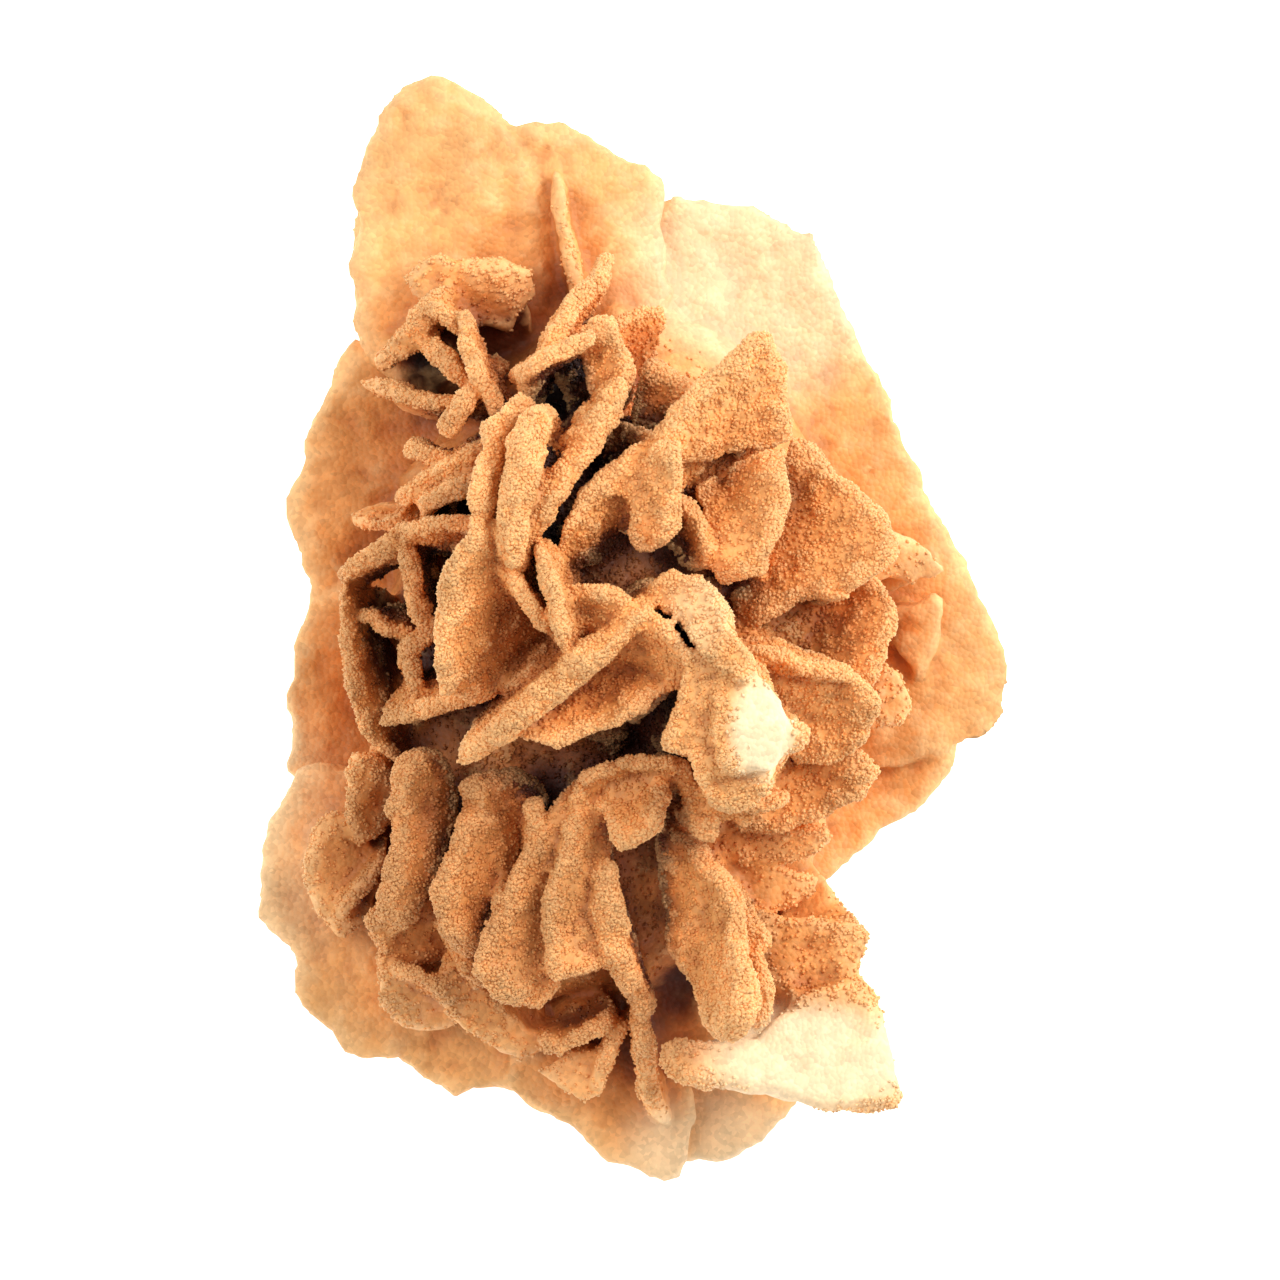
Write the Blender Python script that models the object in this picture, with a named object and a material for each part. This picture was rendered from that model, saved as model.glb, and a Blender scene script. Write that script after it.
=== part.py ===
# A desert rose: blades of gypsum, coated with sand, grown through each other into
# one rosette, and so one solid. It lies on its back, with the rosette facing up
# (+Z) and the two broad lobes of its far end towards +Y.
# Run it with: blender --background --python part.py

import math
import random

import bmesh
import bpy
from mathutils import Vector

# Driving dimensions, in millimetres
MM = 0.001
STOUT = 1.6
PLAIN = 1.15
THIN = 0.7
SHOULDER = 0.88
SHOULDER_HEIGHT = 0.78
BLOCK_SHOULDER = 0.94
BLOCK_SHOULDER_HEIGHT = 1.0
SLIM = 1.0
RIDGE_TAPER = 0.4
RIM_WANDER = 0.05
KNOT_RINGS = 6
FOOT_BOX = 80.0
NEAR_ZERO = 0.1
AXIS = (-1.5, 0.0)
ROOT_LEAN = 0.72
ROOT_HEIGHT = 5.0
ROOT_WIDTH = 0.8
ROOT_BELLY = 0.95
ROOT_FOOT = 0.7
ROOT_SWING = 0.45
ROOT_THICKNESS = 0.95
WIDE_PETAL = 4.0
SKIRT_POINTS = 8
SKIRT_WANDER = 0.16

STONE_COLOUR = "#e39a5c"
STONE_ROUGHNESS = 0.8

# Outline of a blade seen along its face: along its edge, and down from the middle,
# as parts of half its length and half its depth
RIDGE_OUTLINE = [(1.0, -0.3), (0.65, 1.0), (-0.65, 1.0), (-1.0, -0.3), (-0.93, -0.8), (-0.5, -1.0),
                 (0.5, -1.0), (0.93, -0.8)]

# The mass in which the blades meet, as flattened balls: centre, half sizes
KNOTS = [
    ((-1.0, -1.5, 6.2), (12.5, 19.0, 6.8)),
    ((-1.5, 2.5, 11.5), (7.5, 9.5, 5.0)),
    ((6.0, 2.0, 8.5), (6.5, 8.5, 5.0)),
    ((-5.0, -12.5, 8.5), (8.0, 7.0, 4.0)),
    ((4.6, -3.6, 11.5), (4.4, 5.2, 6.2)),
]

# Broad blades seen from their faces: outline in X and Y, height of the middle,
# rise of the face along X and along Y, thickness.
BACK_PLATES = [
    # Far left lobe and the lobe beside it
    ([(-14.6, 15.2), (-14.9, 16.2), (-14.7, 17.2), (-15.0, 18.5), (-14.5, 20.6), (-14.4, 21.6),
      (-14.7, 22.8), (-14.1, 24.7), (-13.9, 25.8), (-13.2, 27.4), (-12.2, 28.5), (-10.5, 28.9),
      (-9.4, 28.6), (-8.0, 27.9), (-6.6, 26.9), (-5.2, 25.6), (-4.6, 24.0), (-4.0, 20.6),
      (-3.6, 16.0), (-5.0, 12.6), (-9.0, 11.6), (-12.8, 12.6)], 6.5, (-0.03, 0.02), STOUT),
    ([(-7.2, 26.6), (-5.6, 27.0), (-4.2, 26.9), (-3.0, 26.6), (-2.2, 25.8), (-0.9, 25.2),
      (0.9, 24.2), (1.8, 23.1), (1.6, 21.0), (1.8, 18.0), (0.6, 14.0), (-4.0, 13.0),
      (-7.0, 17.0), (-7.6, 22.0)], 6.2, (0.0, 0.0), PLAIN),
    # Long right plate with its straight outer edge
    ([(1.2, 22.3), (2.0, 22.8), (4.6, 22.7), (6.5, 22.3), (8.4, 21.1), (9.3, 20.9),
      (10.2, 19.1), (11.6, 15.8), (13.1, 12.0), (15.1, 7.5), (16.6, 5.0), (18.1, 1.7),
      (19.3, -0.6), (19.8, -2.0), (20.0, -3.0), (19.6, -4.3), (18.2, -5.5), (16.9, -6.0), (14.0, -7.4),
      (9.0, -6.0), (4.0, 2.0), (0.4, 12.0), (0.2, 18.0)], 5.2, (-0.03, -0.02), PLAIN),
    ([(16.9, -5.4), (16.8, -7.0), (16.1, -8.5), (15.0, -9.7), (13.2, -10.7), (12.6, -11.4),
      (10.6, -12.4), (9.0, -13.5), (6.0, -14.0), (5.0, -9.0), (9.0, -5.0),
      (14.0, -3.0)], 4.5, (0.0, 0.02), PLAIN),
    # Scalloped left side, from far to near
    ([(-14.4, 15.4), (-15.4, 14.0), (-16.1, 12.1), (-17.0, 10.4), (-17.3, 9.2), (-17.2, 8.2),
      (-18.2, 6.8), (-18.6, 5.3), (-18.2, 4.2), (-17.6, 2.6), (-17.2, 1.4), (-14.0, 0.0),
      (-9.0, 2.0), (-6.5, 9.0), (-8.5, 13.8)], 5.6, (-0.1, 0.0), PLAIN),
    ([(-17.3, 2.6), (-17.1, 0.8), (-17.8, -0.4), (-17.9, -1.2), (-17.6, -2.4), (-18.0, -3.6),
      (-17.7, -5.0), (-17.5, -6.2), (-18.0, -7.4), (-17.0, -9.0), (-13.0, -9.6), (-11.4, -4.0),
      (-12.6, 1.6)], 5.0, (-0.1, 0.0), PLAIN),
    ([(-16.4, -6.6), (-17.8, -7.2), (-18.4, -8.4), (-19.4, -9.6), (-19.8, -11.2), (-19.9, -13.0),
      (-19.6, -15.2), (-18.8, -16.3), (-17.6, -17.0), (-12.0, -17.4), (-8.0, -13.0),
      (-10.0, -8.0)], 6.6, (-0.08, 0.0), PLAIN),
    # Near rim
    ([(-17.4, -16.2), (-17.9, -17.6), (-17.6, -19.2), (-16.9, -20.4), (-15.9, -21.0),
      (-15.4, -22.0), (-14.2, -22.4), (-12.4, -22.6), (-9.0, -20.6), (-7.6, -15.0),
      (-12.0, -13.0)], 6.5, (0.0, 0.05), PLAIN),
    ([(-13.0, -22.0), (-12.2, -22.7), (-11.2, -23.5), (-10.2, -24.2), (-9.3, -24.5), (-8.4, -24.1),
      (-7.4, -23.8), (-6.4, -24.1), (-5.2, -23.6), (-3.0, -18.0), (-6.0, -14.0),
      (-11.0, -16.6)], 5.9, (0.0, 0.05), PLAIN),
    ([(-7.2, -23.6), (-6.2, -24.4), (-5.2, -25.4), (-3.9, -26.0), (-2.6, -27.3), (-1.4, -28.3),
      (0.2, -28.6), (1.4, -28.9), (2.2, -28.7), (2.9, -27.8), (3.2, -25.0), (2.6, -17.0),
      (-4.0, -16.0)], 6.6, (0.0, 0.0), PLAIN),
    ([(2.0, -28.0), (3.6, -27.7), (5.0, -27.9), (6.2, -27.2), (7.2, -26.7), (8.0, -25.8),
      (8.9, -24.7), (8.0, -22.6), (4.0, -21.0), (1.0, -22.6), (0.6, -26.4)], 5.2, (0.0, 0.0), PLAIN),
    # Plate that carries the near right, out of sight below it
    ([(6.0, -12.6), (8.8, -14.8), (10.6, -16.2), (10.6, -18.4), (11.6, -20.0), (12.0, -23.2),
      (7.0, -23.4), (1.0, -22.6), (1.0, -13.0)], 6.4, (0.0, 0.0), STOUT),
]

PETALS = [
    # Pale fan at the near right
    ([(1.2, -21.2), (3.6, -21.2), (6.2, -21.0), (7.2, -20.0), (8.6, -18.9), (10.6, -18.4),
      (11.8, -17.9), (12.7, -18.8), (13.0, -19.8), (13.3, -21.2), (13.8, -22.4), (14.2, -23.8),
      (13.9, -24.9), (12.4, -25.1), (9.4, -24.8), (7.0, -24.1), (4.6, -23.7), (2.2, -23.3),
      (1.0, -22.4)], 11.6, (-0.14, -0.28), STOUT),
    # Right side, from far to near
    ([(7.0, 15.2), (7.6, 13.6), (7.9, 11.6), (8.2, 10.3), (7.2, 9.5), (5.2, 9.0), (3.4, 8.6),
      (2.4, 8.4), (0.6, 8.2), (-1.4, 6.6), (0.4, 9.4), (2.6, 11.8), (4.6, 13.6),
      (6.2, 14.9)], 18.3, (-0.75, 0.5), PLAIN),
    ([(2.3, 9.6), (2.2, 8.0), (2.1, 6.6), (1.9, 5.5), (1.3, 4.5), (0.5, 3.9), (-0.2, 3.8),
      (-0.4, 4.6), (-0.1, 5.8), (-0.2, 7.2), (0.2, 8.6), (1.0, 9.8)], 20.4, (0.5, 0.15), STOUT),
    ([(7.9, 9.3), (8.0, 7.2), (7.8, 6.0), (7.5, 4.8), (6.9, 4.1), (6.3, 3.2), (5.3, 2.4),
      (4.3, 1.9), (3.8, 3.6), (3.6, 5.6), (4.4, 7.6), (5.6, 8.6)], 18.0, (0.55, -0.35), PLAIN),
    ([(2.0, 6.9), (2.6, 7.0), (3.4, 6.3), (3.8, 5.4), (4.2, 4.1), (4.0, 3.0), (2.6, 3.0),
      (1.6, 4.6)], 17.8, (0.7, 0.3), PLAIN),
    ([(3.0, 7.0), (3.6, 6.2), (4.1, 6.7), (4.4, 7.4), (4.3, 8.1), (3.8, 7.8)], 16.6, (0.3, -0.3), THIN),
    ([(0.2, 13.4), (1.0, 13.9), (1.7, 13.3), (3.0, 12.2), (2.0, 10.5), (0.8, 9.6),
      (-0.4, 10.5)], 15.0, (0.2, -0.1), PLAIN),
    ([(-1.8, 16.2), (-1.0, 16.2), (-0.6, 15.8), (-0.2, 14.2), (0.1, 12.9), (-0.6, 12.0),
      (-1.8, 11.4), (-2.4, 12.6), (-2.4, 14.6)], 16.8, (0.6, -0.2), PLAIN),
    ([(8.2, 10.1), (9.2, 9.8), (9.9, 9.0), (10.4, 8.1), (11.2, 7.8), (12.2, 6.7), (12.9, 6.1),
      (13.0, 5.2), (13.3, 4.4), (12.9, 3.5), (12.4, 3.0), (10.9, 2.2), (9.4, 1.5), (7.4, 0.5),
      (5.8, -0.2), (4.8, 0.8), (5.0, 2.4), (6.6, 4.6), (7.6, 7.0)], 14.6, (0.36, -0.42), PLAIN),
    ([(12.4, 3.1), (13.0, 1.9), (13.5, 0.9), (13.6, -0.3), (13.3, -1.6), (13.0, -2.9),
      (11.6, -3.4), (9.0, -2.6), (6.4, -1.4), (5.6, -0.4), (7.4, 1.2),
      (9.6, 2.4)], 12.6, (0.45, -0.22), PLAIN),
    ([(5.4, -0.6), (8.0, -0.8), (9.2, -1.4), (10.8, -2.0), (12.2, -2.8), (13.2, -3.5),
      (12.9, -4.3), (12.3, -5.2), (11.8, -6.4), (10.4, -7.4), (8.2, -7.2), (6.6, -5.0),
      (5.4, -2.6)], 14.8, (0.0, 0.55), PLAIN),
    ([(11.6, -6.5), (12.2, -6.9), (12.9, -7.5), (12.1, -8.6), (11.9, -9.2), (10.3, -9.8),
      (8.6, -10.5), (7.0, -10.9), (5.0, -10.2), (4.8, -8.8), (7.0, -7.6),
      (9.6, -6.4)], 11.6, (0.1, 0.15), PLAIN),
    ([(7.6, -10.4), (9.8, -10.4), (10.4, -11.2), (9.2, -12.0), (7.2, -12.4), (5.2, -12.8),
      (4.0, -12.0), (4.2, -10.6)], 9.8, (0.0, 0.1), PLAIN),
    ([(4.6, -12.4), (7.4, -12.4), (9.6, -12.9), (9.4, -13.8), (8.0, -14.8), (6.4, -14.6),
      (5.2, -14.0)], 9.2, (0.05, 0.2), PLAIN),
    # Leaf below the broken crystal
    ([(1.9, -6.6), (1.8, -7.8), (1.5, -9.0), (1.2, -10.0), (0.6, -11.0), (-0.2, -11.6),
      (-1.1, -11.6), (-1.5, -11.0), (-2.2, -9.6), (-1.4, -8.2), (0.4, -7.0)],
     16.8, (0.5, -0.45), PLAIN),
    # Small blades on the right plate
    ([(12.6, 5.2), (13.4, 5.1), (14.6, 4.6), (15.6, 3.6), (16.4, 3.0), (15.4, 2.4), (13.8, 2.8),
      (12.4, 2.6)], 8.4, (-0.15, 0.25), PLAIN),
    ([(14.6, 0.6), (15.1, 1.6), (15.6, 1.8), (16.2, 1.2), (16.0, -1.4), (14.8, -2.6),
      (13.4, -1.0)], 6.6, (0.0, 0.2), PLAIN),
    ([(13.2, -1.4), (13.9, -1.9), (14.3, -2.7), (14.7, -3.8), (13.9, -5.0), (12.6, -5.2),
      (12.2, -3.0)], 8.8, (-0.1, 0.1), PLAIN),
    # Near side, from right to left
    ([(6.4, -14.6), (7.6, -15.0), (9.0, -14.9), (10.4, -15.2), (11.6, -15.5), (12.2, -15.8),
      (12.0, -16.4), (11.6, -17.2), (11.7, -17.9), (10.6, -18.8), (8.4, -19.2), (6.8, -18.6),
      (6.2, -16.6)], 9.8, (0.05, 0.0), PLAIN),
    ([(1.6, -8.6), (2.4, -10.4), (3.3, -11.1), (3.7, -12.1), (4.3, -12.6), (4.7, -13.4),
      (5.2, -14.3), (5.5, -15.8), (5.9, -17.2), (6.2, -18.6), (6.4, -19.7), (6.1, -20.8),
      (5.2, -21.7), (3.8, -20.8), (2.8, -18.6), (1.9, -16.4), (1.4, -14.0),
      (1.3, -11.0)], 15.0, (1.1, 0.05), STOUT),
    ([(4.4, -12.8), (5.4, -13.5), (6.0, -14.8), (6.4, -16.2), (6.8, -17.6), (7.1, -19.0),
      (6.9, -20.6), (6.2, -21.0), (5.0, -19.0), (4.2, -15.0)], 13.8, (0.5, 0.0), PLAIN),
    ([(-3.0, -7.8), (-4.2, -9.0), (-5.2, -10.3), (-6.3, -11.6), (-6.9, -12.7), (-7.4, -14.4),
      (-7.9, -16.0), (-8.2, -18.0), (-7.0, -19.4), (-5.0, -20.0), (-3.8, -18.6), (-3.6, -16.0),
      (-3.2, -13.0), (-2.6, -10.0)], 15.0, (-0.5, 0.22), PLAIN),
    ([(-3.0, -8.0), (-1.6, -8.8), (-1.2, -10.6), (-1.6, -13.0), (-2.0, -15.5), (-2.3, -17.6),
      (-4.2, -18.4), (-4.8, -15.0), (-4.2, -11.0)], 15.2, (-0.8, 0.1), PLAIN),
    ([(-9.0, -8.1), (-8.4, -7.7), (-7.4, -7.3), (-6.3, -7.0), (-5.2, -7.3), (-4.6, -8.1),
      (-5.0, -9.8), (-6.0, -11.2), (-6.9, -12.7), (-7.4, -14.6), (-7.9, -16.6), (-8.8, -17.6),
      (-10.0, -16.4), (-10.6, -14.0), (-9.9, -12.0), (-9.8, -10.6),
      (-8.9, -9.3)], 13.9, (-0.7, 0.2), STOUT),
    ([(-12.5, -7.4), (-11.6, -6.5), (-10.5, -6.1), (-9.7, -6.7), (-9.2, -8.2), (-9.6, -10.0),
      (-10.2, -11.6), (-10.8, -13.6), (-11.2, -15.6), (-12.4, -16.4), (-13.2, -14.6),
      (-12.8, -12.2), (-12.6, -10.6), (-13.0, -9.2)], 12.8, (-0.65, 0.25), STOUT),
    ([(-12.8, -13.4), (-11.6, -13.8), (-10.4, -13.4), (-9.6, -14.6), (-9.4, -16.6), (-10.0, -17.6),
      (-11.6, -17.8), (-13.0, -16.8), (-13.8, -15.0)], 10.8, (-0.4, 0.35), PLAIN),
    ([(-9.6, -17.0), (-8.0, -18.4), (-6.4, -20.2), (-4.4, -21.4), (-6.0, -22.4), (-9.0, -21.2),
      (-10.6, -19.0)], 10.2, (-0.2, 0.5), PLAIN),
    ([(-16.8, -9.6), (-15.6, -9.0), (-14.4, -9.8), (-13.6, -12.0), (-13.8, -15.0), (-15.4, -16.2),
      (-16.8, -14.5), (-17.4, -12.0)], 8.9, (-0.35, 0.15), PLAIN),
    ([(-15.1, -7.0), (-14.4, -5.9), (-13.5, -6.2), (-12.8, -7.6), (-13.0, -9.4), (-13.6, -11.0),
      (-14.8, -11.2), (-15.4, -9.2)], 10.2, (-0.5, 0.25), PLAIN),
    ([(-13.4, -16.8), (-12.0, -17.6), (-9.0, -18.8), (-8.0, -19.6), (-9.2, -21.2), (-11.4, -21.4),
      (-13.2, -19.6)], 9.2, (-0.3, 0.45), PLAIN),
    ([(-5.0, -22.9), (-3.6, -24.0), (-2.4, -24.4), (-1.5, -24.0), (-1.2, -22.4), (-1.6, -21.2),
      (-3.4, -21.8)], 9.4, (0.3, -0.1), THIN),
    # Far side
    ([(-12.2, 18.1), (-11.4, 18.9), (-10.3, 19.3), (-9.2, 18.9), (-8.1, 19.0), (-6.8, 18.8),
      (-5.4, 18.5), (-5.0, 17.2), (-6.4, 15.4), (-8.6, 15.6), (-10.6, 16.6),
      (-12.0, 17.0)], 9.2, (0.0, 0.35), PLAIN),
    ([(2.4, -8.0), (4.4, -8.0), (4.4, -9.0), (4.1, -10.4), (3.8, -11.0), (3.2, -11.0),
      (2.4, -10.4)], 15.6, (0.0, 0.1), THIN),
]

# The broken crystal in the middle right, with flat cleavage faces, and its neck
BLOCKS = [
    ([(4.2, -1.6), (5.6, -1.3), (6.4, -2.2), (7.1, -3.0), (7.5, -3.7), (7.9, -4.7), (7.9, -5.3),
      (7.6, -6.5), (7.1, -7.6), (5.0, -7.8), (4.2, -7.2), (3.8, -4.5)], 20.6, (-0.08, -0.1), 5.0),
    ([(3.0, -0.9), (4.4, -1.4), (5.2, -2.6), (5.3, -5.0), (5.4, -7.7), (4.0, -7.9), (3.1, -7.6),
      (2.9, -6.6), (1.5, -6.1), (2.3, -4.6), (2.7, -2.8)], 20.0, (0.22, 0.05), 5.0),
    ([(1.9, 2.8), (2.6, 2.2), (3.4, 2.0), (4.4, 1.4), (4.8, 0.6), (5.1, -0.2), (5.6, -0.8),
      (6.4, -1.6), (6.2, -2.6), (4.6, -2.4), (3.4, -1.4), (2.6, -0.3), (1.6, 0.9), (0.8, 1.7),
      (1.3, 2.4)], 21.4, (0.2, -0.35), 2.4),
    ([(2.9, -7.4), (4.5, -7.4), (7.4, -7.0), (6.8, -8.2), (6.0, -8.9), (4.6, -9.0),
      (3.6, -8.6)], 20.4, (0.0, 0.5), 3.0),
    ([(4.4, -9.0), (6.0, -8.8), (8.1, -8.6), (7.6, -9.3), (6.5, -9.6), (4.6, -9.6)],
     16.2, (0.0, 0.0), 2.0),
    ([(7.4, -5.2), (8.0, -4.9), (8.4, -4.4), (8.9, -5.0), (8.9, -5.8), (8.4, -6.0),
      (7.4, -6.2)], 21.8, (-0.2, 0.0), 1.0),
]

# Steep blades seen along their edges: both ends of the edge, the dip of the
# blade below it, leaning to the left of the way from the first end to the
# second, how deep the blade goes, its thickness, and how far its middle bows
# out to that side.
RIDGES = [
    # Heart of the rosette
    ((-9.9, -7.8, 20.5), (0.8, 0.9, 24.6), 84, 14.0, 2.0, 0.0),
    ((-13.8, -5.4, 14.5), (-2.6, -1.3, 21.6), 72, 10.0, 1.3, -0.25),
    ((-6.8, -6.3, 20.6), (2.8, -3.4, 21.5), 46, 9.0, PLAIN, -0.8),
    ((3.3, -1.0, 23.0), (-3.6, 2.8, 22.5), 50, 9.0, PLAIN, -0.8),
    ((-4.9, 4.2, 24.0), (-3.4, -1.6, 23.4), 84, 10.0, 1.2, 0.25),
    ((-7.3, 3.2, 22.0), (-4.3, 0.2, 22.8), 90, 8.0, 0.8, 0.0),
    ((-6.3, 13.3, 21.0), (-8.8, 4.2, 24.2), 66, 13.0, 1.4, -0.6),
    ((-8.9, 5.6, 24.2), (-10.7, -4.4, 21.0), 52, 11.0, 1.5, -0.2),
    ((-4.8, 12.2, 23.6), (-6.7, 2.8, 24.4), 82, 12.0, 2.5, -0.2),
    ((-5.3, 13.5, 20.5), (-1.7, 15.0, 19.4), 90, 7.0, THIN, -0.15),
    ((-5.3, 4.4, 23.2), (0.3, 13.5, 21.0), 80, 11.0, 1.9, 0.15),
    ((-4.9, 13.6, 18.4), (-0.9, 20.4, 13.4), 90, 8.0, 1.1, -0.3),
    ((1.7, 17.8, 12.0), (-3.7, 15.0, 16.0), 50, 7.0, PLAIN, 0.0),
    ((2.0, -6.6, 18.4), (-3.3, -7.9, 17.2), 70, 7.0, THIN, 0.2),
    # Right side
    ((7.2, 15.1, 18.8), (-4.4, 5.0, 22.2), 62, 9.0, STOUT, -0.4),
    ((0.4, 3.9, 20.6), (2.2, 9.3, 21.4), 55, 9.0, PLAIN, -0.5),
    ((13.2, -3.5, 15.8), (5.4, -0.9, 18.6), 70, 6.0, PLAIN, -0.4),
    # Near side
    ((-1.7, -12.6, 17.4), (0.3, -21.0, 13.6), 86, 9.0, 2.1, -0.3),
    ((-0.1, -19.6, 13.6), (1.8, -26.8, 8.0), 88, 8.0, 1.3, -0.3),
    ((-4.4, -17.8, 15.4), (-1.5, -17.3, 15.4), 80, 5.0, THIN, 0.0),
    ((-5.0, -22.0, 11.2), (-1.5, -20.4, 12.2), 70, 6.0, THIN, -0.3),
    ((-2.0, -24.3, 10.0), (-1.1, -20.7, 11.6), 84, 6.0, 0.9, -0.2),
    ((-8.9, -19.5, 11.8), (-12.4, -17.8, 12.0), 86, 5.0, THIN, 0.0),
    ((-9.8, -16.0, 13.4), (-7.6, -19.2, 12.6), 80, 6.0, 0.9, 0.2),
    ((-17.4, -12.6, 8.8), (-14.0, -9.6, 10.4), 76, 5.0, 1.2, 0.3),
    ((-16.0, -15.4, 9.0), (-13.4, -12.2, 11.0), 78, 5.0, 1.2, -0.3),
    ((-13.2, -17.2, 10.4), (-11.6, -20.2, 9.6), 80, 5.0, THIN, 0.2),
    # Left side, from near to far
    ((-15.6, 2.3, 12.4), (-12.8, -7.3, 12.6), 65, 8.0, PLAIN, -0.3),
    ((-14.4, 0.9, 11.6), (-12.0, -0.4, 13.0), 70, 6.0, THIN, -0.2),
    ((-12.3, 4.5, 15.6), (-11.2, -0.5, 15.6), 76, 8.0, 1.5, 0.1),
    ((-12.5, -1.3, 14.0), (-10.1, 0.1, 15.4), 88, 6.0, THIN, 0.1),
    ((-12.0, -0.9, 14.0), (-11.2, -3.6, 15.0), 88, 6.0, THIN, 0.2),
    ((-8.8, 5.3, 18.0), (-12.8, 4.8, 15.0), 82, 9.0, 0.9, -0.4),
    ((-12.2, 5.0, 15.4), (-15.9, 2.1, 11.6), 80, 8.0, 0.9, 0.2),
    ((-11.8, 5.9, 13.6), (-8.6, 7.7, 17.4), 90, 8.0, 0.9, -0.2),
    ((-13.3, 6.1, 11.6), (-8.7, 9.0, 16.6), 88, 8.0, 0.9, -0.3),
    ((-15.6, 5.7, 8.4), (-12.6, 6.0, 11.6), 86, 5.0, THIN, 0.2),
    ((-12.5, 9.9, 11.8), (-10.1, 8.6, 14.2), 88, 6.0, 0.8, -0.2),
    ((-10.2, 10.0, 15.4), (-8.5, 12.3, 16.6), 90, 8.0, 0.9, 0.2),
    # Far side
    ((-9.0, 11.8, 14.0), (-15.1, 12.8, 9.0), 84, 6.0, 1.2, 0.4),
    ((-9.3, 17.0, 13.4), (-7.5, 12.1, 17.4), 88, 9.0, 1.0, -0.2),
    ((-14.0, 13.2, 9.6), (-10.6, 16.6, 12.2), 88, 5.0, 0.9, -0.4),
    ((-11.0, 16.7, 12.2), (-9.3, 15.6, 12.8), 88, 5.0, 0.9, -0.1),
    ((-13.0, 13.9, 10.0), (-11.2, 15.0, 11.4), 88, 4.0, THIN, -0.2),
    ((-11.5, 15.1, 11.4), (-9.3, 13.0, 13.0), 88, 5.0, 0.9, 0.2),
    ((-4.3, 24.6, 7.8), (-3.1, 17.0, 10.0), 88, 5.0, 1.15, 0.2),
]

# Rounded blades on the underside: middle, width, length, the way they face as an
# angle from X, and how steeply they slope down that way. What would reach below
# the floor is worn flat there.
SKIRTS = [
    ((-9.8, 19.0, 3.4), 10.0, 15.0, 118, 20),
    ((-4.0, 19.5, 2.4), 12.0, 9.0, 62, 38),
    ((3.6, 15.6, 3.0), 9.0, 13.0, 74, 19),
    ((7.4, 10.2, 2.2), 13.0, 9.0, 18, 42),
    ((11.0, 2.6, 3.0), 9.0, 10.5, 8, 20),
    ((12.2, -4.0, 2.2), 10.0, 9.0, -38, 36),
    ((6.0, -11.0, 2.4), 8.0, 11.0, -52, 46),
    ((4.6, -18.5, 2.6), 12.0, 9.0, -28, 27),
    ((1.6, -22.0, 3.2), 8.0, 11.0, -78, 22),
    ((-5.6, -19.0, 2.2), 13.0, 9.0, -122, 40),
    ((-12.6, -16.6, 3.2), 8.0, 12.0, -140, 22),
    ((-14.4, -10.4, 2.2), 11.0, 8.0, 172, 44),
    ((-13.0, -3.4, 3.0), 8.0, 9.0, 204, 20),
    ((-12.0, 4.0, 2.0), 12.0, 10.0, 158, 37),
    ((-11.6, 10.6, 3.2), 8.0, 10.0, 168, 18),
    ((-2.0, 12.0, 2.2), 10.0, 12.0, 95, 24),
]


def clear_scene():
    for old in list(bpy.data.objects):
        bpy.data.objects.remove(old, do_unlink=True)


def new_collection(name):
    collection = bpy.data.collections.new(name)
    bpy.context.scene.collection.children.link(collection)
    return collection


def to_linear(code):
    channels = [int(code[i:i + 2], 16) / 255.0 for i in (1, 3, 5)]
    return [c / 12.92 if c <= 0.04045 else ((c + 0.055) / 1.055) ** 2.4 for c in channels] + [1.0]


def stone_material():
    material = bpy.data.materials.new("sand_coated_gypsum")
    material.use_nodes = True
    shader = material.node_tree.nodes["Principled BSDF"]
    shader.inputs["Base Color"].default_value = to_linear(STONE_COLOUR)
    shader.inputs["Roughness"].default_value = STONE_ROUGHNESS
    shader.inputs["Metallic"].default_value = 0.0
    return material


def lens(rim, normal, thickness, shoulder, shoulder_height):
    # A blade whose edge follows the rim points, which go round anticlockwise seen
    # against the normal: slim blades are plain slabs, stout ones thin towards the
    # edge. thickness has a value for each rim point.
    middle = sum(rim, Vector()) / len(rim)
    cage = bmesh.new()
    if max(thickness) < SLIM:
        bmesh.ops.create_cone(cage, cap_ends=True, segments=len(rim), radius1=1.0, radius2=1.0, depth=2.0)
        shoulder = shoulder_height = 1.0
    else:
        bmesh.ops.create_uvsphere(cage, u_segments=len(rim), v_segments=4, radius=1.0)
        poles = [vert for vert in cage.verts if math.hypot(vert.co.x, vert.co.y) < NEAR_ZERO]
        bmesh.ops.dissolve_verts(cage, verts=poles)
    for vert in cage.verts:
        side = 0.0 if abs(vert.co.z) < NEAR_ZERO else math.copysign(1.0, vert.co.z)
        turn = math.atan2(vert.co.y, vert.co.x) / math.tau * len(rim)
        number = math.floor(turn + NEAR_ZERO) % len(rim)
        spread = shoulder if side else 1.0
        out = side * shoulder_height * thickness[number] / 2
        vert.co = middle + (rim[number] - middle) * spread + normal * out
    return cage


def anticlockwise(points):
    area = sum(a[0] * b[1] - b[0] * a[1] for a, b in zip(points, points[1:] + points[:1]))
    return points if area > 0 else points[::-1]


def plate(outline, height, rise, thickness, shoulder=SHOULDER, shoulder_height=SHOULDER_HEIGHT):
    # A blade given by the outline that it shows from above
    points = anticlockwise(outline)
    mid_x = sum(p[0] for p in points) / len(points)
    mid_y = sum(p[1] for p in points) / len(points)
    rim = [Vector((x, y, height + rise[0] * (x - mid_x) + rise[1] * (y - mid_y))) for x, y in points]
    normal = Vector((-rise[0], -rise[1], 1.0)).normalized()
    return lens(rim, normal, [thickness] * len(rim), shoulder, shoulder_height)


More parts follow.
